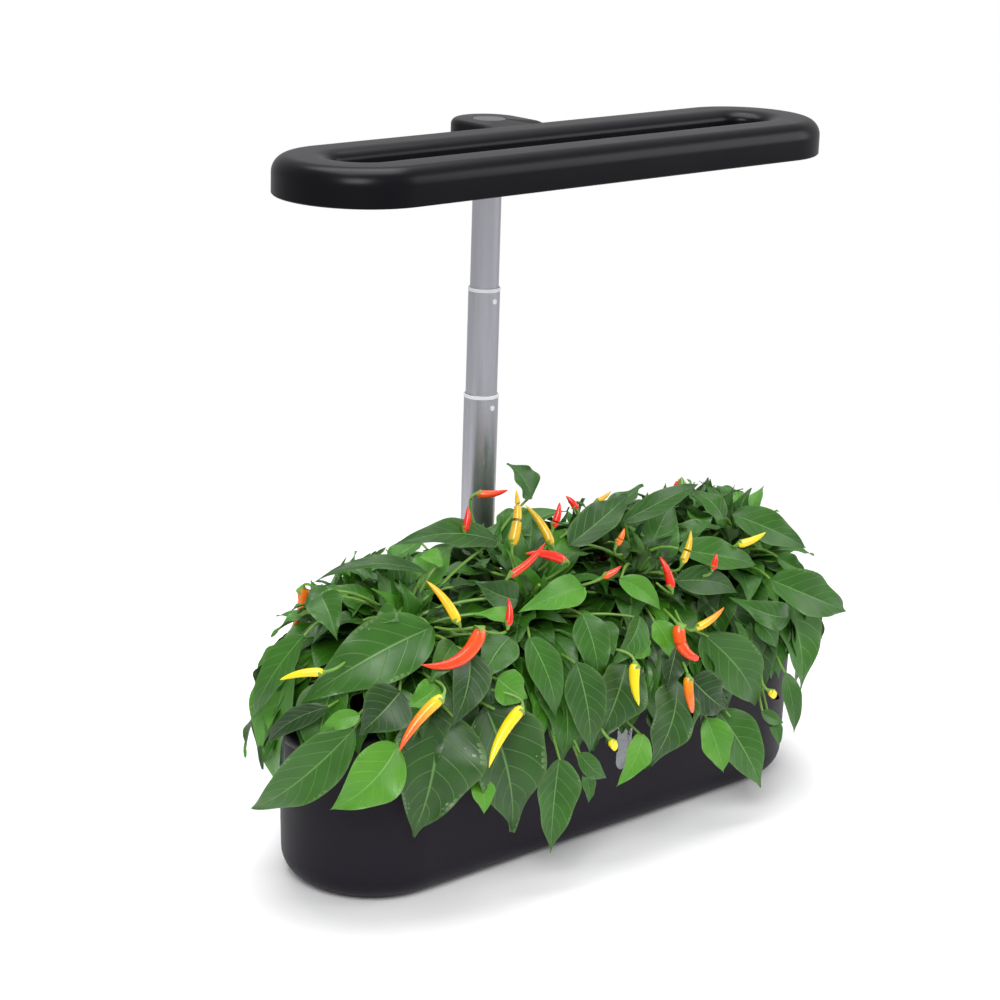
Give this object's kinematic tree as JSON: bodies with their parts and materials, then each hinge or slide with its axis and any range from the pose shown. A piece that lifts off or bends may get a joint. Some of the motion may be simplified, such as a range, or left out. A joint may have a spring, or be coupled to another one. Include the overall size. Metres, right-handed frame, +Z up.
{
  "type": "countertop hydroponic garden",
  "caption": "Slot-shaped black water tank with a planted lid of leafy chilli plants under a ring-shaped grow lamp on a telescopic pole.",
  "frame": {"origin": "on the table, under the middle of the tank", "axes": "+Z up, +X along the long side, +Y towards the pole at the back"},
  "size_m": [0.491, 0.2023, 0.4596],
  "materials": {
    "black_plastic": "matte moulded ABS, near black",
    "satin_plastic": "satin moulded ABS, black",
    "clear_plastic": "clear moulded polycarbonate",
    "rubber": "soft black rubber",
    "sponge": "dark open-cell growing sponge",
    "aluminium": "satin drawn and anodised",
    "white_plastic": "white acetal",
    "diffuser": "milky polycarbonate",
    "circuit_board": "white solder mask",
    "led": "phosphor-coated chips",
    "touch_glass": "black glossy cover",
    "plant": "glossy green leaves"
  },
  "bodies": {
    "base": {"tank": "black_plastic", "level_window": "clear_plastic", "window_gasket": "rubber", "rubber_feet": "rubber", "pump_body": "black_plastic", "pump_strainer": "black_plastic", "pump_sponge": "sponge", "pump_nozzle": "black_plastic", "suction_cups": "rubber", "pole_socket": "black_plastic", "power_jack": "black_plastic", "lower_tube": "aluminium", "lower_collar": "white_plastic", "lower_stud": "white_plastic"},
    "deck": {"planting_deck": "black_plastic", "pod_basket_1": "black_plastic", "grow_sponge_1": "sponge", "chilli_plant_1": "plant", "pod_basket_2": "black_plastic", "grow_sponge_2": "sponge", "chilli_plant_2": "plant", "pod_basket_3": "black_plastic", "grow_sponge_3": "sponge", "chilli_plant_3": "plant", "pod_basket_4": "black_plastic", "grow_sponge_4": "sponge", "chilli_plant_4": "plant", "pod_basket_5": "black_plastic", "grow_sponge_5": "sponge", "chilli_plant_5": "plant", "pod_basket_6": "black_plastic", "grow_sponge_6": "sponge", "chilli_plant_6": "plant", "pod_basket_7": "black_plastic", "grow_sponge_7": "sponge", "chilli_plant_7": "plant", "pod_basket_8": "black_plastic", "grow_sponge_8": "sponge", "chilli_plant_8": "plant"},
    "cap": {"fill_cap": "black_plastic"},
    "middle_pole": {"middle_tube": "aluminium", "middle_collar": "white_plastic", "middle_stud": "white_plastic"},
    "lamp": {"top_tube": "aluminium", "lamp_shell": "satin_plastic", "lamp_diffuser": "diffuser", "led_board": "circuit_board", "led_chips": "led", "arm_cover": "satin_plastic", "control_board": "circuit_board", "touch_panel": "touch_glass"}
  },
  "joints": [
    {"name": "deck_lift", "type": "slide", "parent": "base", "child": "deck", "axis": [0, 0, 1], "range_m": [0, 0.03]},
    {"name": "cap_lift", "type": "slide", "parent": "deck", "child": "cap", "axis": [0, 0, 1], "range_m": [0, 0.008]},
    {"name": "pole_slide", "type": "slide", "parent": "base", "child": "middle_pole", "axis": [0, 0, 1], "range_m": [-0.06, 0.05]},
    {"name": "lamp_slide", "type": "slide", "parent": "middle_pole", "child": "lamp", "axis": [0, 0, 1], "range_m": [-0.088, 0.05]}
  ]
}
